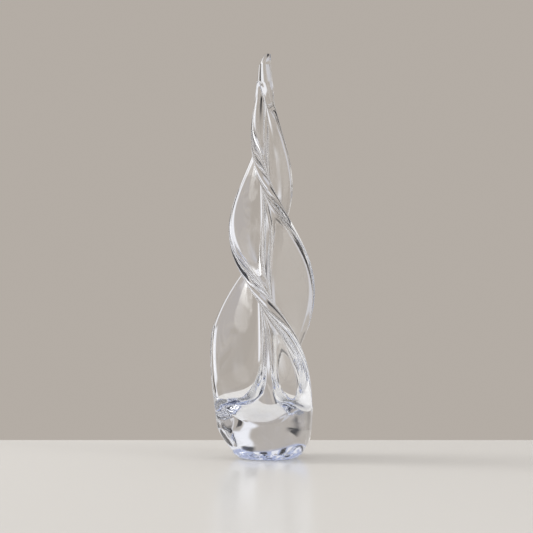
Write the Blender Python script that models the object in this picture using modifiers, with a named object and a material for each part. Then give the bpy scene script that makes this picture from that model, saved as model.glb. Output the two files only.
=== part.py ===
"""Twisted glass tree: a solid foot, a core, three spiral fins with beaded rims and a drawn-out tip.

Metres, +Z up. The origin is the middle of the flat that is ground under the foot, and -Y is the front.
The tree is one gather of clear glass. It is divided here where the maker works it: foot, core, each fin, tip.
"""

import math

import bmesh
import bpy
from mathutils import Vector

# Outline: how far the glass reaches from the tree's axis, from the foot through the belly to the taper
HEIGHT = 0.394
FOOT_RADIUS = 0.0420
FOOT_TAPER = 0.0115
FOOT_TAPER_RISE = 0.030
FOOT_TAPER_CURVE = 1.2
FOOT_EDGE_WIDTH = 0.0040
FOOT_EDGE_RISE = 0.0070
FOOT_GROUND_OFF = 0.0002
BELLY_RADIUS = 0.0550
BELLY_HEIGHT = 0.1250
FOOT_CURVE = 2.5
TAPER_CURVE = 1.1
AXIS_SET_BACK = 0.0020
AXIS_SETTLES_AT = 0.030

# Drawn-out tip: a slim cone that leans to one side up to a shoulder, then the end, which leans back
TIP_SHOULDER_RADIUS = 0.0055
TIP_SHOULDER_DROP = 0.0098
TIP_CONE_SLOPE = 0.136
TIP_BLEND = 0.0020
TIP_END_RADIUS = 0.0031
TIP_LEAN = 0.0014
TIP_END_LEAN = 0.0024
TIP_END_CURVE = 1.4
TIP_FLATS = 0.12

# Fins, in horizontal section, with sizes from the low seam to the high one
FIN_DEGREES = (77.6, 197.5, 325.5)
FIN_TWIST_SHARES = (1.0, 1.025, 1.03)
FIN_REACH_SHARES = (1.01, 1.0, 1.03)
WEB_THICKNESS_LOW = 0.0100
WEB_THICKNESS_HIGH = 0.0048
BEAD_THICKNESS_LOW = 0.0170
BEAD_THICKNESS_HIGH = 0.0085
BEAD_STARTS_AT_SHARE = 0.10
ROOT_ROUNDING_LOW = 0.0028
ROOT_ROUNDING_HIGH = 0.0015

# Twist: none at the table, growing to a steady rate, clockwise going up as seen from above
TWIST_PITCH = 0.348
TWIST_STEADY_FROM = 0.2075

# Grooves, each after the fin of its number: scooped out of the foot, and ending in an arch below the tip.
# Where two values are given, the first is beside the fin before the groove, the second beside the next fin.
SCOOP_LIP_HEIGHT = 0.0355
SCOOP_LIP_RADIUS = 0.0440
SCOOP_LIP_BLEND = 0.0020
RIDGE_ENDS_AT_SHARE = 0.70
SCOOP_LIP_LIFTS = (0.009, 0.001)
SCOOP_RISE = 0.0175
SCOOP_RISES_AT_WEB = (0.011, 0.024)
SCOOP_WEB_SHARE = 0.28
SCOOP_FLOOR_SHARE = 0.88
ROOT_FLARE = 0.022
ROOT_FLARE_ENDS_AT = 0.095
GROOVE_TOP_DROPS = (0.031, 0.032, 0.0267)
GROOVE_ARCH = 0.008
GROOVE_RUN_OUT = 0.014
GROOVE_END_CURVE = 1.4

# Seams between the divided pieces
SEAM_LEDGE = 0.002
SEAM_GAP = 0.0003
FIN_ROOT_EDGE = 0.0006

# Facets
SIDE_POINTS = 3
BEAD_POINTS = 5
RIM_POINTS = 3
ROOT_ARC_POINTS = 4
FIN_RINGS = 32
FOOT_EDGE_RINGS = 4
FOOT_RINGS = 5
SCOOP_RINGS = 16
RUN_OUT_RINGS = 18
TIP_END_RINGS = 3
CORE_STEPS = 24
SMOOTH_BELOW = math.radians(40.0)

FIN_COUNT = len(FIN_DEGREES)
TIP_SHOULDER_HEIGHT = HEIGHT - TIP_SHOULDER_DROP
LOW_SEAM_HEIGHT = ROOT_FLARE_ENDS_AT + SEAM_LEDGE
GROOVES_END_HEIGHT = HEIGHT - min(GROOVE_TOP_DROPS)
HIGH_SEAM_HEIGHT = HEIGHT - max(GROOVE_TOP_DROPS) - GROOVE_ARCH - GROOVE_RUN_OUT - SEAM_LEDGE


def smooth_step(share):
    share = min(max(share, 0.0), 1.0)
    return share * share * (3.0 - 2.0 * share)


def even_steps(start, end, count):
    return [start + (end - start) * i / count for i in range(count + 1)]


def along_fins(low, high, z):
    """A size that changes evenly from the low seam to the high one, and carries on past both."""
    return low + (high - low) * (z - LOW_SEAM_HEIGHT) / (HIGH_SEAM_HEIGHT - LOW_SEAM_HEIGHT)


def envelope_radius(z):
    """Reach of the glass from the axis: a rounded foot, a belly, and a taper easing into the tip's cone."""
    if z < BELLY_HEIGHT:
        drop = ((BELLY_HEIGHT - z) / BELLY_HEIGHT) ** FOOT_CURVE
        taper = FOOT_TAPER * max(1.0 - z / FOOT_TAPER_RISE, 0.0) ** FOOT_TAPER_CURVE
        under = max((FOOT_EDGE_RISE - z) / (FOOT_EDGE_RISE + FOOT_GROUND_OFF), 0.0)
        edge = FOOT_EDGE_WIDTH * (1.0 - math.sqrt(1.0 - under * under))
        return BELLY_RADIUS - (BELLY_RADIUS - FOOT_RADIUS) * drop - taper - edge
    if z > TIP_SHOULDER_HEIGHT:
        shoulder = envelope_radius(TIP_SHOULDER_HEIGHT)
        drop = ((z - TIP_SHOULDER_HEIGHT) / TIP_SHOULDER_DROP) ** TIP_END_CURVE
        return shoulder - (shoulder - TIP_END_RADIUS) * drop
    share = (z - BELLY_HEIGHT) / (HEIGHT - BELLY_HEIGHT)
    taper = BELLY_RADIUS * (1.0 - share ** TAPER_CURVE)
    cone = TIP_SHOULDER_RADIUS + TIP_CONE_SLOPE * (TIP_SHOULDER_HEIGHT - z)
    return 0.5 * (taper + cone + math.hypot(taper - cone, TIP_BLEND * smooth_step(share)))


def axis_at(z):
    """The axis stands beside the middle of the ground flat, the tip leans on and its end leans back."""
    lean = TIP_LEAN * smooth_step((z - HIGH_SEAM_HEIGHT) / (TIP_SHOULDER_HEIGHT - HIGH_SEAM_HEIGHT))
    lean_back = TIP_END_LEAN * max(z - TIP_SHOULDER_HEIGHT, 0.0) / TIP_SHOULDER_DROP
    return Vector((lean_back - lean - AXIS_SET_BACK * smooth_step(z / AXIS_SETTLES_AT), 0.0, z))


def fin_angle(fin, z):
    """Azimuth of a fin's middle plane at a height."""
    share = min(z / TWIST_STEADY_FROM, 1.0)
    turned = TWIST_STEADY_FROM * (share ** 3 - 0.5 * share ** 4) + max(z - TWIST_STEADY_FROM, 0.0)
    return math.radians(FIN_DEGREES[fin]) - math.tau * FIN_TWIST_SHARES[fin] * turned / TWIST_PITCH


def groove_half_angle(groove, z):
    """Half the angle between the fins on either side of a groove."""
    return 0.5 * ((fin_angle((groove + 1) % FIN_COUNT, z) - fin_angle(groove, z)) % math.tau)


def above_scoops(z):
    """0 at the scoops' lip, 1 from where the roots have finished flaring."""
    return min(max((z - SCOOP_LIP_HEIGHT) / (ROOT_FLARE_ENDS_AT - SCOOP_LIP_HEIGHT), 0.0), 1.0)


def fin_reach(fin, z):
    """Distance from the axis to a fin's rim. Each fin's own share fades in above the scoops."""
    return envelope_radius(z) * (1.0 + (FIN_REACH_SHARES[fin] - 1.0) * smooth_step(above_scoops(z)))


def half_thicknesses(z):
    """Half of a web and of a bead, and the rounding between web and core, which flares towards the foot."""
    web = 0.5 * along_fins(WEB_THICKNESS_LOW, WEB_THICKNESS_HIGH, z)
    bead = 0.5 * along_fins(BEAD_THICKNESS_LOW, BEAD_THICKNESS_HIGH, z)
    flare = ROOT_FLARE * (1.0 - above_scoops(z)) ** 2
    return web, bead, along_fins(ROOT_ROUNDING_LOW, ROOT_ROUNDING_HIGH, z) + flare


def groove_floor_radius(groove, z):
    """Distance from the axis to the bottom of a groove."""
    web, _, rounding = half_thicknesses(z)
    return web / math.sin(groove_half_angle(groove, z)) + rounding


def core_radius(z):
    """The core fills what all the grooves leave round the axis."""
    return min(groove_floor_radius(groove, z) for groove in range(FIN_COUNT))


def web_side(u, groove, z):
    """Half thickness at u along a fin: a hyperbola rounds the groove's floor into the web's flat side."""
    web, _, rounding = half_thicknesses(z)
    sine, cosine = math.sin(groove_half_angle(groove, z)), math.cos(groove_half_angle(groove, z))
    slope = cosine / sine
    along = u * cosine - web / sine
    square = sine * sine - (slope * cosine) ** 2
    linear = 2.0 * (along * sine + slope * slope * u * sine * cosine)
    constant = along * along - (slope * u * sine) ** 2 - rounding * rounding
    return (math.sqrt(max(linear * linear - 4.0 * square * constant, 0.0)) - linear) / (2.0 * square)


def root_cut(groove, z):
    """How far along a fin its side comes clear of the core's seam: the same hyperbola against a circle."""
    web, _, rounding = half_thicknesses(z)
    half_angle = groove_half_angle(groove, z)
    radius = groove_floor_radius(groove, z) + SEAM_GAP + FIN_ROOT_EDGE
    slope = 1.0 / math.tan(half_angle)
    corner = web / math.sin(half_angle)
    square = slope * slope + 1.0
    constant = corner * corner - rounding * rounding - (slope * radius) ** 2
    along = (corner + math.sqrt(corner * corner - square * constant)) / square
    aside = math.sqrt(radius * radius - along * along)
    return along * math.cos(half_angle) + aside * math.sin(half_angle)


def fin_half_outline(fin, groove, z, root_u):
    """Points (u, v) of half a fin's section, from the middle of its rim in to its root at root_u."""
    web, bead, _ = half_thicknesses(z)
    reach = fin_reach(fin, z)
    rim_starts = max(reach - bead, 0.5 * (reach + root_u))
    floor_u = groove_floor_radius(groove, z) * math.cos(groove_half_angle(groove, z))
    bead_starts = max(floor_u + BEAD_STARTS_AT_SHARE * (rim_starts - floor_u), root_u)
    stations = []
    for turn in even_steps(0.5 * math.pi, 0.0, RIM_POINTS)[:-1]:
        stations.append((rim_starts + (reach - rim_starts) * math.sin(turn), math.cos(turn)))
    for u in even_steps(rim_starts, bead_starts, BEAD_POINTS)[:-1]:
        stations.append((u, 1.0))
    for share in even_steps(1.0, 0.0, SIDE_POINTS):
        stations.append((root_u + (bead_starts - root_u) * share ** 1.8, 1.0))
    outline = []
    for u, rim in stations:
        swell = smooth_step((u - bead_starts) / (rim_starts - bead_starts))
        outline.append((u, rim * (web_side(u, groove, z) + (bead - web) * swell)))
    return outline


def groove_fill(fin, groove, z, inward):
    """0 where a groove is full depth, 1 where the glass is round. inward goes from rim to mid-groove."""
    side = 0 if groove == fin else 1
    web = 1.0 - smooth_step((inward - SCOOP_WEB_SHARE) / (SCOOP_FLOOR_SHARE - SCOOP_WEB_SHARE))
    lip = SCOOP_LIP_HEIGHT + SCOOP_LIP_LIFTS[side] * web
    rise = SCOOP_RISE + (SCOOP_RISES_AT_WEB[side] - SCOOP_RISE) * web
    foot = 1.0 - smooth_step((z - lip) / rise)
    arch = HEIGHT - GROOVE_TOP_DROPS[groove] - GROOVE_ARCH * (1.0 - inward) ** 2
    below = min(max((arch - z) / GROOVE_RUN_OUT, 0.0), 1.0)
    return max(foot, (1.0 - below) ** GROOVE_END_CURVE)


def round_radius(fin, z, inward):
    """Radius where a groove is filled: no wider than the lips, with a ridge below and above each fin."""
    wide = envelope_radius(z)
    lip = 0.5 * (wide + SCOOP_LIP_RADIUS - math.hypot(wide - SCOOP_LIP_RADIUS, SCOOP_LIP_BLEND))
    flat = TIP_FLATS * smooth_step((z - LOW_SEAM_HEIGHT) / (HIGH_SEAM_HEIGHT - LOW_SEAM_HEIGHT))
    ridge = (fin_reach(fin, z) - lip) * (1.0 - smooth_step(inward / RIDGE_ENDS_AT_SHARE))
    return (lip + ridge) * (1.0 - flat * math.sin(0.5 * math.pi * inward) ** 2)


def half_section(fin, groove, z):
    """Half a fin's section down to the groove's floor, rounded out as far as the groove is filled here."""
    half_angle = groove_half_angle(groove, z)
    outline = fin_half_outline(fin, groove, z, groove_floor_radius(groove, z) * math.cos(half_angle))
    lengths = [0.0]
    for (u0, v0), (u1, v1) in zip(outline, outline[1:]):
        lengths.append(lengths[-1] + math.hypot(u1 - u0, v1 - v0))
    section = []
    for (u, v), length in zip(outline, lengths):
        inward = length / lengths[-1]
        fill, radius = groove_fill(fin, groove, z, inward), round_radius(fin, z, inward)
        angle = half_angle * inward
        round_u, round_v = radius * math.cos(angle), radius * math.sin(angle)
        section.append((u + (round_u - u) * fill, v + (round_v - v) * fill))
    return section


def placed(points, fin, z):
    """Points (u, v) of a fin's section as points of the tree."""
    angle = fin_angle(fin, z)
    outward = Vector((math.cos(angle), math.sin(angle), 0.0))
    across = Vector((-math.sin(angle), math.cos(angle), 0.0))
    return [axis_at(z) + outward * u + across * v for u, v in points]


def full_ring(z):
    """The whole tree's outline at a height, through every fin in turn."""
    ring = []
    for fin in range(FIN_COUNT):
        before = half_section(fin, (fin - 1) % FIN_COUNT, z)
        after = half_section(fin, fin, z)
        ring += placed([(u, -v) for u, v in reversed(before)] + after[1:-1], fin, z)
    return ring


def fin_ring(fin, z):
    """One fin's outline outside the core, closed by an arc that follows the core across the seam."""
    groove_before = (fin - 1) % FIN_COUNT
    before = fin_half_outline(fin, groove_before, z, root_cut(groove_before, z))
    after = fin_half_outline(fin, fin, z, root_cut(fin, z))
    start, end = math.atan2(after[-1][1], after[-1][0]), -math.atan2(before[-1][1], before[-1][0])
    inner = core_radius(z) + SEAM_GAP
    turns = even_steps(start, end, ROOT_ARC_POINTS)
    arc = [(inner * math.cos(turn), inner * math.sin(turn)) for turn in turns]
    return placed([(u, -v) for u, v in reversed(before)] + after[1:] + arc, fin, z)


def clear_glass(name):
    material = bpy.data.materials.new(name + "_glass")
    material.use_nodes = True
    shader = material.node_tree.nodes["Principled BSDF"]
    shader.inputs["Base Color"].default_value = (0.93, 0.95, 0.97, 1.0)
    shader.inputs["Roughness"].default_value = 0.02
    shader.inputs["Metallic"].default_value = 0.0
    shader.inputs["IOR"].default_value = 1.52
    shader.inputs["Transmission Weight"].default_value = 1.0
    return material


def linked(name, mesh):
    piece = bpy.data.objects.new(name, mesh)
    parts.objects.link(piece)
    piece.parent = tree
    mesh.materials.append(clear_glass(name))
    return piece


def loft(name, rings):
    """A closed solid through rings of equal point count from the bottom up, capped at both ends."""
    shape = bmesh.new()
    rows = [[shape.verts.new(point) for point in ring] for ring in rings]
    for low, high in zip(rows, rows[1:]):
        for i in range(len(low)):
            shape.faces.new((low[i - 1], low[i], high[i], high[i - 1]))
    shape.faces.new(list(reversed(rows[0])))
    shape.faces.new(rows[-1])
    mesh = bpy.data.meshes.new(name)
    shape.to_mesh(mesh)
    shape.free()
    mesh.shade_smooth()
    mesh.set_sharp_from_angle(angle=SMOOTH_BELOW)
    return linked(name, mesh)


def turned_rod(name, low, high):
    """A tapered rod turned about the tree's axis from a profile that runs from its top to its foot."""
    mesh = bpy.data.meshes.new(name)
    outline = [(0.0, high), (core_radius(high), high), (core_radius(low), low), (0.0, low)]
    mesh.from_pydata([(radius, 0.0, z) for radius, z in outline], [(0, 1), (1, 2), (2, 3)], [])
    rod = linked(name, mesh)
    rod.location.x = axis_at(low).x
    screw = rod.modifiers.new("turned", 'SCREW')
    screw.steps = screw.render_steps = CORE_STEPS
    screw.use_merge_vertices = True
    screw.merge_threshold = 0.00001
    return rod


for stale in list(bpy.data.objects):
    bpy.data.objects.remove(stale)
parts = bpy.data.collections.new("glass_tree")
bpy.context.scene.collection.children.link(parts)
tree = bpy.data.objects.new("tree_axis", None)
parts.objects.link(tree)

edge_heights = even_steps(0.0, FOOT_EDGE_RISE, FOOT_EDGE_RINGS)[:-1]
foot_heights = even_steps(FOOT_EDGE_RISE, SCOOP_LIP_HEIGHT, FOOT_RINGS)[:-1]
scoop_heights = even_steps(SCOOP_LIP_HEIGHT, ROOT_FLARE_ENDS_AT, SCOOP_RINGS)
loft("base", [full_ring(z) for z in edge_heights + foot_heights + scoop_heights + [LOW_SEAM_HEIGHT]])

turned_rod("core", LOW_SEAM_HEIGHT + SEAM_GAP, HIGH_SEAM_HEIGHT)

fin_heights = even_steps(LOW_SEAM_HEIGHT + SEAM_GAP, HIGH_SEAM_HEIGHT, FIN_RINGS)
for fin in range(FIN_COUNT):
    loft("fin_%d" % (fin + 1), [fin_ring(fin, z) for z in fin_heights])

run_out_heights = even_steps(HIGH_SEAM_HEIGHT + SEAM_GAP, GROOVES_END_HEIGHT, RUN_OUT_RINGS)
end_heights = even_steps(TIP_SHOULDER_HEIGHT, HEIGHT, TIP_END_RINGS)
loft("tip", [full_ring(z) for z in run_out_heights + end_heights])
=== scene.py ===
"""The glass tree dressed for its picture.

One continuous skin of clear glass stands on a plain polished table, in soft studio light.
"""

import math

import bmesh
import bpy
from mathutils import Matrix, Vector, noise


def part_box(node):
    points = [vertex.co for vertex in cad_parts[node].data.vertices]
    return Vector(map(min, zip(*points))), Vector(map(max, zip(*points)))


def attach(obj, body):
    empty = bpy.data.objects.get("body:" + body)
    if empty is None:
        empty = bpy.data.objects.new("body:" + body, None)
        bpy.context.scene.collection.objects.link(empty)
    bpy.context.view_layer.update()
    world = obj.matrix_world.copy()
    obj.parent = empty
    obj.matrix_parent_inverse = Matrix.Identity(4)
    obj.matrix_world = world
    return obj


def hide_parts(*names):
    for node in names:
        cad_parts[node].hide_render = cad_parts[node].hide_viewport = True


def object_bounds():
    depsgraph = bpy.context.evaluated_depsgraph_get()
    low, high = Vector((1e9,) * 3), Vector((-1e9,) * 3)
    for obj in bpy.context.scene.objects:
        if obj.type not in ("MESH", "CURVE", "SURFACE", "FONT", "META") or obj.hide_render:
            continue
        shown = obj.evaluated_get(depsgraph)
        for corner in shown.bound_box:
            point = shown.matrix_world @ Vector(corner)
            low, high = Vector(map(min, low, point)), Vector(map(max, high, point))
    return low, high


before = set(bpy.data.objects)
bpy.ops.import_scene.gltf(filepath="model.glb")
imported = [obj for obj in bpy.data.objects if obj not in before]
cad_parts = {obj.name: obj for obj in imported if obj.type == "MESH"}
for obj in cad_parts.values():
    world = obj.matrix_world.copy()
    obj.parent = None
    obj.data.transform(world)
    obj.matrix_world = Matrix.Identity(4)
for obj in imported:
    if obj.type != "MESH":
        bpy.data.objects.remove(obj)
cad_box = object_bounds()
scene = bpy.context.scene

# Foot and belly, in metres. From here to the grooves' upper ends the values are those of the part's source
HEIGHT = cad_box[1][2]
FOOT_RADIUS = 0.0420
FOOT_TAPER = 0.0115
FOOT_TAPER_RISE = 0.030
FOOT_TAPER_CURVE = 1.2
FOOT_EDGE_WIDTH = 0.0040
FOOT_EDGE_RISE = 0.0070
FOOT_GROUND_OFF = 0.0002
FOOT_CURVE = 2.5
BELLY_RADIUS = 0.0550
BELLY_HEIGHT = 0.1250
TAPER_CURVE = 1.1
AXIS_SET_BACK = 0.0020
AXIS_SETTLES_AT = 0.030

# Tip, drawn out and leaning
TIP_SHOULDER_RADIUS = 0.0055
TIP_SHOULDER_DROP = 0.0098
TIP_SHOULDER_HEIGHT = HEIGHT - TIP_SHOULDER_DROP
TIP_CONE_SLOPE = 0.136
TIP_BLEND = 0.0020
TIP_END_RADIUS = 0.0031
TIP_LEAN = 0.0014
TIP_END_LEAN = 0.0024
TIP_END_CURVE = 1.4
TIP_FLATS = 0.12

# Fins: three values are one for each fin, and two are for the lower and the upper end of all of them
FINS_FROM, FINS_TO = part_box("fin_1")[0][2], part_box("fin_1")[1][2]
FIN_DEGREES = (77.6, 197.5, 325.5)
FIN_COUNT = len(FIN_DEGREES)
FIN_TWIST_SHARES = (1.0, 1.025, 1.03)
FIN_REACH_SHARES = (1.01, 1.0, 1.03)
TWIST_PITCH = 0.348
TWIST_STEADY_FROM = 0.2075
WEB_THICKNESS = (0.0100, 0.0048)
BEAD_THICKNESS = (0.0170, 0.0085)
BEAD_STARTS_AT_SHARE = 0.10
ROOT_ROUNDING = (0.0028, 0.0015)
ROOT_FLARE = 0.0220
ROOT_FLARE_ENDS_AT = 0.095

# Scoops where the grooves end in the foot: a pair is for the groove after a fin and the groove before it
SCOOP_LIP_HEIGHT = 0.0355
SCOOP_LIP_RADIUS = 0.0440
SCOOP_LIP_BLEND = 0.0020
SCOOP_LIP_LIFTS = (0.009, 0.001)
SCOOP_RISE = 0.0175
SCOOP_RISES_AT_WEB = (0.011, 0.024)
SCOOP_WEB_SHARE = 0.28
SCOOP_FLOOR_SHARE = 0.88
RIDGE_ENDS_AT_SHARE = 0.70

# Upper ends of the grooves, with a drop for each groove
GROOVE_TOP_DROPS = (0.031, 0.032, 0.0267)
GROOVE_ARCH = 0.008
GROOVE_RUN_OUT = 0.014
GROOVE_END_CURVE = 1.4

# Uneven webs: waves for each metre up and out, and steps through the noise from fin to fin and side to side
WEB_UNEVENNESS = 0.02
WEB_WAVES_UP = 46.0
WEB_WAVES_OUT = 42.0
WEB_NOISE_FIN_STEP = 5.1
WEB_NOISE_SIDE_STEP = 2.3

# Rims that waver in and out
REACH_UNEVENNESS = 0.003
REACH_WAVES_UP = 34.0
REACH_NOISE_FIN_STEP = 7.3
REACH_NOISE_START = 2.0

# Lines drawn out along the fins, in radians across a fin. With the waves they fade in over its inner third
DRAWN_LINES = 0.002
BROAD_LINES_ACROSS = 27.0
BROAD_LINES_FIN_STEP = 3.0
FINE_LINES_ACROSS = 61.0
FINE_LINES_SHARE = 0.6
HAND_FADE_SLOPE = 3.0

# Uneven grinding round the edge of the foot, with waves for each metre
FOOT_UNEVENNESS = 0.07
FOOT_WAVES_ROUND = 210.0
FOOT_WAVES_UP = 150.0

# Fineness of the skin: points along half a section, and rings between the heights that skin_heights names
SIDE_POINTS = 9
BEAD_POINTS = 18
RIM_POINTS = 10
ROOT_CROWDING = 1.8
RINGS = (24, 30, 70, 190, 60, 16, 16)
SHARP_DEGREES = 50.0


def smooth_step(share):
    share = min(max(share, 0.0), 1.0)
    return share * share * (3.0 - 2.0 * share)


def even_steps(start, end, count):
    return [start + (end - start) * i / count for i in range(count + 1)]


def along_fins(sizes, z):
    return sizes[0] + (sizes[1] - sizes[0]) * (z - FINS_FROM) / (FINS_TO - FINS_FROM)


def envelope_radius(z):
    """Radius of the outline that the foot, the rims of the fins and the tip follow."""
    if z < BELLY_HEIGHT:
        drop = ((BELLY_HEIGHT - z) / BELLY_HEIGHT) ** FOOT_CURVE
        taper = FOOT_TAPER * max(1.0 - z / FOOT_TAPER_RISE, 0.0) ** FOOT_TAPER_CURVE
        under = max((FOOT_EDGE_RISE - z) / (FOOT_EDGE_RISE + FOOT_GROUND_OFF), 0.0)
        edge = FOOT_EDGE_WIDTH * (1.0 - math.sqrt(1.0 - under * under))
        return BELLY_RADIUS - (BELLY_RADIUS - FOOT_RADIUS) * drop - taper - edge
    if z > TIP_SHOULDER_HEIGHT:
        shoulder = envelope_radius(TIP_SHOULDER_HEIGHT)
        drop = ((z - TIP_SHOULDER_HEIGHT) / TIP_SHOULDER_DROP) ** TIP_END_CURVE
        return shoulder - (shoulder - TIP_END_RADIUS) * drop
    share = (z - BELLY_HEIGHT) / (HEIGHT - BELLY_HEIGHT)
    taper = BELLY_RADIUS * (1.0 - share ** TAPER_CURVE)
    cone = TIP_SHOULDER_RADIUS + TIP_CONE_SLOPE * (TIP_SHOULDER_HEIGHT - z)
    return 0.5 * (taper + cone + math.hypot(taper - cone, TIP_BLEND * smooth_step(share)))


def axis_at(z):
    """The axis leans to one side below the tip's shoulder, and back above it."""
    lean = TIP_LEAN * smooth_step((z - FINS_TO) / (TIP_SHOULDER_HEIGHT - FINS_TO))
    lean_back = TIP_END_LEAN * max(z - TIP_SHOULDER_HEIGHT, 0.0) / TIP_SHOULDER_DROP
    return Vector((lean_back - lean - AXIS_SET_BACK * smooth_step(z / AXIS_SETTLES_AT), 0.0, z))


def fin_angle(fin, z):
    """Where a fin points: the twist starts from rest on the ground, and is steady above a height."""
    share = min(z / TWIST_STEADY_FROM, 1.0)
    turned = TWIST_STEADY_FROM * (share ** 3 - 0.5 * share ** 4) + max(z - TWIST_STEADY_FROM, 0.0)
    return math.radians(FIN_DEGREES[fin]) - math.tau * FIN_TWIST_SHARES[fin] * turned / TWIST_PITCH


def groove_half_angle(groove, z):
    return 0.5 * ((fin_angle((groove + 1) % FIN_COUNT, z) - fin_angle(groove, z)) % math.tau)


def above_scoops(z):
    """Share of the way up from the scoops' lips to where the fins' roots no longer flare."""
    return min(max((z - SCOOP_LIP_HEIGHT) / (ROOT_FLARE_ENDS_AT - SCOOP_LIP_HEIGHT), 0.0), 1.0)


def root_rounding(z):
    """Radius between a fin's web and the floor of the groove, which flares toward the foot."""
    return along_fins(ROOT_ROUNDING, z) + ROOT_FLARE * (1.0 - above_scoops(z)) ** 2


def fin_reach(fin, z):
    """How far a fin's rim stands from the axis. Each fin's own share fades in above the scoops."""
    own = (FIN_REACH_SHARES[fin] - 1.0) * smooth_step(above_scoops(z))
    return envelope_radius(z) * (1.0 + own)


def web_side(u, web, rounding, sine, cosine):
    """Half thickness at u along a fin: a hyperbola that rounds the groove's floor into the web."""
    slope = cosine / sine
    along = u * cosine - web / sine
    square = sine * sine - (slope * cosine) ** 2
    linear = 2.0 * (along * sine + slope * slope * u * sine * cosine)
    constant = along * along - (slope * u * sine) ** 2 - rounding * rounding
    root = math.sqrt(max(linear * linear - 4.0 * square * constant, 0.0))
    return (root - linear) / (2.0 * square)


def groove_fill(fin, groove, z, inward):
    """0 where a groove has its full depth, 1 where the glass is round.

    inward goes from 0 at a fin's rim to 1 at mid-groove.
    """
    beside = 0 if groove == fin else 1
    web = 1.0 - smooth_step((inward - SCOOP_WEB_SHARE) / (SCOOP_FLOOR_SHARE - SCOOP_WEB_SHARE))
    lip = SCOOP_LIP_HEIGHT + SCOOP_LIP_LIFTS[beside] * web
    rise = SCOOP_RISE + (SCOOP_RISES_AT_WEB[beside] - SCOOP_RISE) * web
    foot = 1.0 - smooth_step((z - lip) / rise)
    arch = HEIGHT - GROOVE_TOP_DROPS[groove] - GROOVE_ARCH * (1.0 - inward) ** 2
    below = min(max((arch - z) / GROOVE_RUN_OUT, 0.0), 1.0)
    return max(foot, (1.0 - below) ** GROOVE_END_CURVE)


def round_radius(fin, z, inward):
    """Radius where a groove is filled: no wider than the lips, with a ridge that leads to each fin."""
    wide = envelope_radius(z)
    lip = 0.5 * (wide + SCOOP_LIP_RADIUS - math.hypot(wide - SCOOP_LIP_RADIUS, SCOOP_LIP_BLEND))
    flat = TIP_FLATS * smooth_step((z - FINS_FROM) / (FINS_TO - FINS_FROM))
    ridge = (fin_reach(fin, z) - lip) * (1.0 - smooth_step(inward / RIDGE_ENDS_AT_SHARE))
    return (lip + ridge) * (1.0 - flat * math.sin(0.5 * math.pi * inward) ** 2)


def fin_stations(reach, rim_starts, bead_starts, root_u):
    """Places u from a fin's rim in to its root, each with the share of thickness left by the round rim."""
    stations = []
    for turn in even_steps(0.5 * math.pi, 0.0, RIM_POINTS)[:-1]:
        stations.append((rim_starts + (reach - rim_starts) * math.sin(turn), math.cos(turn)))
    for u in even_steps(rim_starts, bead_starts, BEAD_POINTS)[:-1]:
        stations.append((u, 1.0))
    for share in even_steps(1.0, 0.0, SIDE_POINTS):
        stations.append((root_u + (bead_starts - root_u) * share ** ROOT_CROWDING, 1.0))
    return stations


def hand_marks(fin, side, z, u, out):
    """Factor by which the hand leaves a fin thicker or thinner. out is 0 at its root and 1 at its rim."""
    apart = fin * WEB_NOISE_FIN_STEP + side * WEB_NOISE_SIDE_STEP
    uneven = noise.noise(Vector((z * WEB_WAVES_UP, u * WEB_WAVES_OUT, apart)))
    broad = math.sin(BROAD_LINES_ACROSS * out + BROAD_LINES_FIN_STEP * fin)
    fine = math.sin(FINE_LINES_ACROSS * out + side)
    lines = broad + FINE_LINES_SHARE * fine
    return 1.0 + smooth_step(HAND_FADE_SLOPE * out) * (WEB_UNEVENNESS * uneven + DRAWN_LINES * lines)


def fin_outline(fin, z, half_angle, side):
    """Half a fin as points (u, v), from the middle of its rim to the middle of the groove's floor."""
    sine, cosine = math.sin(half_angle), math.cos(half_angle)
    web, bead = 0.5 * along_fins(WEB_THICKNESS, z), 0.5 * along_fins(BEAD_THICKNESS, z)
    rounding = root_rounding(z)
    root_u = (web / sine + rounding) * cosine
    waver = noise.noise(Vector((z * REACH_WAVES_UP, fin * REACH_NOISE_FIN_STEP, REACH_NOISE_START)))
    reach = fin_reach(fin, z) * (1.0 + REACH_UNEVENNESS * waver)
    rim_starts = max(reach - bead, 0.5 * (reach + root_u))
    bead_starts = root_u + BEAD_STARTS_AT_SHARE * (rim_starts - root_u)
    outline = []
    for u, rim in fin_stations(reach, rim_starts, bead_starts, root_u):
        swell = smooth_step((u - bead_starts) / (rim_starts - bead_starts))
        thick = web_side(u, web, rounding, sine, cosine) + (bead - web) * swell
        hand = hand_marks(fin, side, z, u, (u - root_u) / (reach - root_u))
        outline.append((u, rim * hand * thick))
    return outline


def half_section(fin, groove, z, side):
    """Half a fin's section as points (u, v), with the groove beside it filled where it ends."""
    half_angle = groove_half_angle(groove, z)
    outline = fin_outline(fin, z, half_angle, side)
    lengths = [0.0]
    for (u0, v0), (u1, v1) in zip(outline, outline[1:]):
        lengths.append(lengths[-1] + math.hypot(u1 - u0, v1 - v0))
    section = []
    for (u, v), length in zip(outline, lengths):
        inward = length / lengths[-1]
        fill, radius = groove_fill(fin, groove, z, inward), round_radius(fin, z, inward)
        round_u, round_v = radius * math.cos(half_angle * inward), radius * math.sin(half_angle * inward)
        section.append((u + (round_u - u) * fill, v + (round_v - v) * fill))
    return section


def ground_wavy(point):
    """Uneven grinding round the foot's edge, fading out above and below it."""
    under = 1.0 - point.z / FOOT_EDGE_RISE
    if not 0.0 < under < 1.0:
        return point
    place = (point.x * FOOT_WAVES_ROUND, point.y * FOOT_WAVES_ROUND, point.z * FOOT_WAVES_UP)
    wave = noise.noise(Vector(place))
    share = 1.0 + FOOT_UNEVENNESS * wave * 4.0 * under * (1.0 - under)
    return Vector((point.x * share, point.y * share, point.z))


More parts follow.
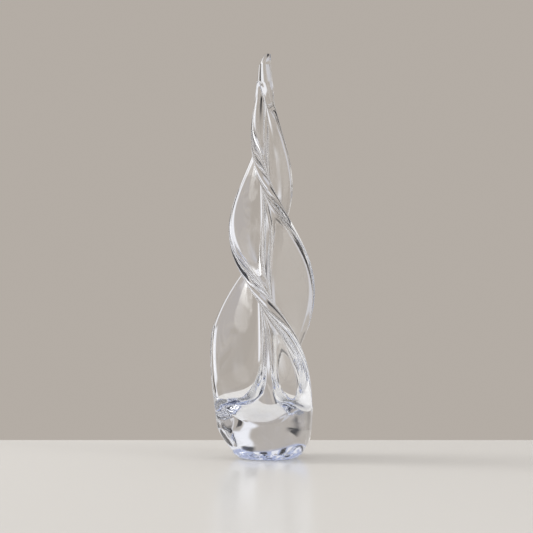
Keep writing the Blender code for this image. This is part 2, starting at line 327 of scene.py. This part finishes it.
def full_ring(z):
    """One loop round all the fins and grooves at a height."""
    ring = []
    for fin in range(FIN_COUNT):
        angle = fin_angle(fin, z)
        outward = Vector((math.cos(angle), math.sin(angle), 0.0))
        across = Vector((-math.sin(angle), math.cos(angle), 0.0))
        before = half_section(fin, (fin - 1) % FIN_COUNT, z, -1.0)
        after = half_section(fin, fin, z, 1.0)
        points = [(u, -v) for u, v in reversed(before)] + after[1:-1]
        ring += [axis_at(z) + outward * u + across * v for u, v in points]
    return [ground_wavy(point) for point in ring]


def skin_heights():
    """Heights of the rings: closer at the ground edge, in the scoops and where the grooves run out."""
    run_out = HEIGHT - max(GROOVE_TOP_DROPS) - GROOVE_ARCH - GROOVE_RUN_OUT
    grooves_end = HEIGHT - min(GROOVE_TOP_DROPS)
    foot = (0.0, FOOT_EDGE_RISE, SCOOP_LIP_HEIGHT, ROOT_FLARE_ENDS_AT)
    stops = (*foot, run_out, grooves_end, TIP_SHOULDER_HEIGHT, HEIGHT)
    heights = []
    for start, end, rings in zip(stops, stops[1:], RINGS):
        heights += even_steps(start, end, rings)[:-1]
    return heights + [HEIGHT]


def glass_skin(name):
    """One closed skin from the ground flat to the tip."""
    shape = bmesh.new()
    rows = [[shape.verts.new(point) for point in full_ring(z)] for z in skin_heights()]
    for low, high in zip(rows, rows[1:]):
        for i in range(len(low)):
            shape.faces.new((low[i - 1], low[i], high[i], high[i - 1]))
    for row, z, turn in ((rows[0], 0.0, -1), (rows[-1], HEIGHT, 1)):
        middle = shape.verts.new(axis_at(z))
        for i in range(len(row)):
            shape.faces.new((row[i - 1], row[i], middle)[::turn])
    mesh = bpy.data.meshes.new(name)
    shape.to_mesh(mesh)
    shape.free()
    mesh.shade_smooth()
    mesh.set_sharp_from_angle(angle=math.radians(SHARP_DEGREES))
    skin = bpy.data.objects.new(name, mesh)
    scene.collection.objects.link(skin)
    return skin


# Glass: what its depth takes from the light, fine lines drawn up its surface, and a little haze along them
GLASS_IOR = 1.52
GLASS_COLOUR = (1.0, 1.0, 1.0, 1.0)
DEPTH_COLOUR = (0.78, 0.83, 0.95, 1.0)
DEPTH_DENSITY = 3.0
RIPPLES_PER_METRE = (190.0, 190.0, 16.0)
RIPPLE_DETAIL = 1.5
RIPPLE_STRENGTH = 0.04
RIPPLE_HEIGHT = 0.0012
HAZE_FROM = 0.35
HAZE_FULL_AT = 0.75
HAZE_ROUGHNESS = 0.02


def clear_glass():
    """Fire-polished glass, with a blue-violet cast through its depth."""
    material = bpy.data.materials.new("clear_glass")
    material.use_nodes = True
    nodes, links = material.node_tree.nodes, material.node_tree.links
    shader = nodes["Principled BSDF"]
    shader.inputs["Base Color"].default_value = GLASS_COLOUR
    shader.inputs["IOR"].default_value = GLASS_IOR
    shader.inputs["Transmission Weight"].default_value = 1.0
    place = nodes.new("ShaderNodeTexCoord")
    stretch = nodes.new("ShaderNodeMapping")
    stretch.inputs["Scale"].default_value = RIPPLES_PER_METRE
    links.new(place.outputs["Object"], stretch.inputs["Vector"])
    ripple = nodes.new("ShaderNodeTexNoise")
    ripple.inputs["Scale"].default_value = 1.0
    ripple.inputs["Detail"].default_value = RIPPLE_DETAIL
    links.new(stretch.outputs["Vector"], ripple.inputs["Vector"])
    bump = nodes.new("ShaderNodeBump")
    bump.inputs["Strength"].default_value = RIPPLE_STRENGTH
    bump.inputs["Distance"].default_value = RIPPLE_HEIGHT
    links.new(ripple.outputs["Fac"], bump.inputs["Height"])
    links.new(bump.outputs["Normal"], shader.inputs["Normal"])
    haze = nodes.new("ShaderNodeMapRange")
    haze.inputs["From Min"].default_value = HAZE_FROM
    haze.inputs["From Max"].default_value = HAZE_FULL_AT
    haze.inputs["To Min"].default_value = 0.0
    haze.inputs["To Max"].default_value = HAZE_ROUGHNESS
    links.new(ripple.outputs["Fac"], haze.inputs["Value"])
    links.new(haze.outputs["Result"], shader.inputs["Roughness"])
    depth = nodes.new("ShaderNodeVolumeAbsorption")
    depth.inputs["Color"].default_value = DEPTH_COLOUR
    depth.inputs["Density"].default_value = DEPTH_DENSITY
    links.new(depth.outputs["Volume"], nodes["Material Output"].inputs["Volume"])
    return material


tree = glass_skin("glass_tree")
tree.data.materials.append(clear_glass())
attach(tree, "root")
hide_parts("base", "core", "fin_1", "fin_2", "fin_3", "tip")

# Table: a plain pale polished top whose far edge stands a little behind the tree
TABLE_TOP = -0.0004
TABLE_DEPTH_BEHIND = 0.185
TABLE_DEPTH_BEFORE = 1.2
TABLE_MIDDLE = 0.5 * (TABLE_DEPTH_BEHIND - TABLE_DEPTH_BEFORE)
TABLE_HALF_WIDTH = 0.34
TABLE_THICKNESS = 0.04
STONE_COLOUR = (0.72, 0.70, 0.665, 1.0)
STONE_ROUGHNESS = 0.22


def pale_stone():
    material = bpy.data.materials.new("pale_stone")
    material.use_nodes = True
    shader = material.node_tree.nodes["Principled BSDF"]
    shader.inputs["Base Color"].default_value = STONE_COLOUR
    shader.inputs["Roughness"].default_value = STONE_ROUGHNESS
    return material


bpy.ops.mesh.primitive_cube_add(size=1.0)
table = bpy.context.object
table.name = "table"
table.scale = (2.0 * TABLE_HALF_WIDTH, TABLE_DEPTH_BEHIND + TABLE_DEPTH_BEFORE, TABLE_THICKNESS)
table.location = (0.0, TABLE_MIDDLE, TABLE_TOP - 0.5 * TABLE_THICKNESS)
table.data.materials.append(pale_stone())

# Backdrop: the camera sees a plain wall. The glass mirrors pale and dark panels below a cool ceiling
WALL = (0.455, 0.415, 0.375)
PALE = (0.90, 0.90, 0.93)
MIST = (0.60, 0.59, 0.61)
GLEAM = (2.4, 2.4, 2.4)
DARK = (0.015, 0.015, 0.02)
CEILING = (0.42, 0.47, 0.66)
FILL_STRENGTH = 0.86

# Edges of panels, as parts of a unit direction from the tree: each is where its blend begins and ends
ALL = ((-2.0, -1.9), (1.9, 2.0))
BELOW, ABOVE = ALL
SIDES = ((-0.44, -0.36), (0.36, 0.44))

# Panels: colour, then left, right, lower, upper, near and far edges. A later panel covers earlier ones
PANELS = (
    # The ceiling, and the dark of the room in front
    (CEILING, *ALL, (0.50, 0.60), ABOVE, *ALL),
    (DARK, *ALL, (0.14, 0.20), (0.48, 0.56), BELOW, (0.30, 0.40)),
    # Pale panels to the right with a dark strip above them, and the bright one to the left
    (PALE, (0.26, 0.36), (0.74, 0.84), (0.03, 0.10), (0.44, 0.54), *ALL),
    (PALE, (0.17, 0.29), (0.46, 0.54), (-0.12, -0.07), (0.06, 0.10), *ALL),
    (PALE, (0.40, 0.50), (0.60, 0.66), (-0.42, -0.34), (-0.12, -0.07), *ALL),
    (GLEAM, (-0.96, -0.92), (-0.80, -0.74), (0.28, 0.34), (0.56, 0.62), *ALL),
    (PALE, (0.54, 0.64), (0.84, 0.92), (0.44, 0.54), (0.80, 0.88), *ALL),
    (PALE, (0.74, 0.78), (0.92, 0.95), (-0.12, -0.06), (0.06, 0.10), *ALL),
    (DARK, (0.22, 0.34), (0.52, 0.66), (0.42, 0.48), (0.53, 0.60), *ALL),
    # Strips high up, pale and dark in turn
    (PALE, (0.14, 0.18), (0.26, 0.30), (0.55, 0.58), (0.66, 0.70), *ALL),
    (DARK, (0.00, 0.04), (0.12, 0.16), (0.55, 0.58), (0.64, 0.68), *ALL),
    (PALE, (-0.20, -0.16), (-0.08, -0.04), (0.55, 0.58), (0.70, 0.74), *ALL),
    (DARK, (-0.34, -0.30), (-0.24, -0.20), (0.55, 0.58), (0.68, 0.72), *ALL),
    (PALE, (-0.46, -0.42), (-0.38, -0.34), (0.58, 0.62), (0.74, 0.78), *ALL),
    # Dark panels to the right
    (DARK, (0.72, 0.76), (0.94, 0.97), (0.12, 0.15), (0.46, 0.52), *ALL),
    (DARK, (0.73, 0.75), (0.90, 0.94), BELOW, (-0.15, -0.11), *SIDES),
    (DARK, (0.52, 0.56), (0.64, 0.67), (-0.14, -0.10), (-0.03, 0.02), *ALL),
    # Dark and misty panels to the left
    (DARK, (-0.955, -0.93), (-0.75, -0.73), BELOW, (-0.07, -0.03), *SIDES),
    (DARK, (-0.70, -0.56), (-0.40, -0.24), (0.05, 0.15), (0.18, 0.30), *ALL),
    (MIST, (-0.70, -0.62), (-0.20, -0.12), (-0.14, -0.11), (-0.04, -0.01), *ALL),
    (DARK, (-0.56, -0.51), (-0.19, -0.13), (-0.60, -0.52), (-0.17, -0.13), *ALL),
)

# A Mix node's colour sockets, which have to be called by number
MIX_FACTOR = 0
MIX_FIRST = 6
MIX_SECOND = 7
MIX_RESULT = 2

world = bpy.data.worlds.new("studio")
scene.world = world
world.use_nodes = True
world_nodes, world_links = world.node_tree.nodes, world.node_tree.links
world_nodes.clear()


def calculated(operation, first, second):
    step = world_nodes.new("ShaderNodeMath")
    step.operation = operation
    world_links.new(first, step.inputs[0])
    world_links.new(second, step.inputs[1])
    return step.outputs[0]


def between(value, start, end):
    """1 between two edges along one axis of a direction, 0 outside them, with a smooth blend at each."""
    shares = []
    for low, high in (start, end):
        edge = world_nodes.new("ShaderNodeMapRange")
        edge.interpolation_type = 'SMOOTHSTEP'
        edge.inputs["From Min"].default_value = low
        edge.inputs["From Max"].default_value = high
        world_links.new(value, edge.inputs["Value"])
        shares.append(edge.outputs["Result"])
    return calculated('SUBTRACT', *shares)


def blended(amount, first, second):
    """A mix of two colours, each a tuple or the socket of another node."""
    mix = world_nodes.new("ShaderNodeMix")
    mix.data_type = 'RGBA'
    world_links.new(amount, mix.inputs[MIX_FACTOR])
    for number, colour in ((MIX_FIRST, first), (MIX_SECOND, second)):
        if isinstance(colour, tuple):
            mix.inputs[number].default_value = (*colour, 1.0)
        else:
            world_links.new(colour, mix.inputs[number])
    return mix.outputs[MIX_RESULT]


direction = world_nodes.new("ShaderNodeTexCoord")
split = world_nodes.new("ShaderNodeSeparateXYZ")
world_links.new(direction.outputs["Generated"], split.inputs["Vector"])
studio = WALL
for colour, left, right, low, high, near, far in PANELS:
    inside = between(split.outputs["X"], left, right)
    inside = calculated('MULTIPLY', inside, between(split.outputs["Z"], low, high))
    inside = calculated('MULTIPLY', inside, between(split.outputs["Y"], near, far))
    studio = blended(inside, studio, colour)

# The camera sees the wall without the panels, and what matt surfaces pass on is an even fill
path = world_nodes.new("ShaderNodeLightPath")
seen = blended(path.outputs["Is Camera Ray"], studio, WALL)
lit = blended(path.outputs["Diffuse Depth"], seen, (FILL_STRENGTH, FILL_STRENGTH, FILL_STRENGTH))
background = world_nodes.new("ShaderNodeBackground")
world_links.new(lit, background.inputs["Color"])
output = world_nodes.new("ShaderNodeOutputWorld")
world_links.new(background.outputs["Background"], output.inputs["Surface"])

# Lamps, each with its name, place, width, height and watts
LAMP_AIM = Vector((0.0, 0.0, 0.18))
LAMPS = (
    ("key_left", Vector((-1.6, 0.3, 1.0)), 0.8, 1.5, 20.0),
    ("fill_right", Vector((1.6, -0.9, 0.9)), 0.5, 1.2, 7.0),
)


def softbox(name, place, width, height, watts):
    """A soft lamp that lights the table. The glass mirrors the panels instead of it."""
    lamp = bpy.data.lights.new(name, 'AREA')
    lamp.shape = 'RECTANGLE'
    lamp.size = width
    lamp.size_y = height
    lamp.energy = watts
    box = bpy.data.objects.new(name, lamp)
    box.location = place
    box.rotation_euler = (LAMP_AIM - place).to_track_quat('-Z', 'Y').to_euler()
    box.visible_camera = False
    box.visible_glossy = False
    box.visible_transmission = False
    scene.collection.objects.link(box)


for settings in LAMPS:
    softbox(*settings)

# Camera: level and square on, a little below mid-height
CAMERA_DISTANCE = 1.8
CAMERA_HEIGHT = 0.1865
CAMERA_SIDE = -0.0017
CAMERA_LEVEL_DEGREES = 90.0
CAMERA_CLIP_END = 50.0
SENSOR_WIDTH = 36.0
PIXELS_PER_METRE = 1024.0
PICTURE_SIDE = 533.0
lens = bpy.data.cameras.new("camera")
lens.sensor_width = SENSOR_WIDTH
lens.lens = SENSOR_WIDTH * PIXELS_PER_METRE * CAMERA_DISTANCE / PICTURE_SIDE
lens.clip_end = CAMERA_CLIP_END
camera = bpy.data.objects.new("camera", lens)
camera.location = (CAMERA_SIDE, -CAMERA_DISTANCE, CAMERA_HEIGHT)
camera.rotation_euler = (math.radians(CAMERA_LEVEL_DEGREES), 0.0, 0.0)
scene.collection.objects.link(camera)
scene.camera = camera

# Light passes many faces of the glass before it is lost
GLASS_BOUNCES = 24
GLOSSY_BOUNCES = 12
scene.view_settings.view_transform = 'Standard'
scene.cycles.max_bounces = GLASS_BOUNCES
scene.cycles.transmission_bounces = GLASS_BOUNCES
scene.cycles.glossy_bounces = GLOSSY_BOUNCES
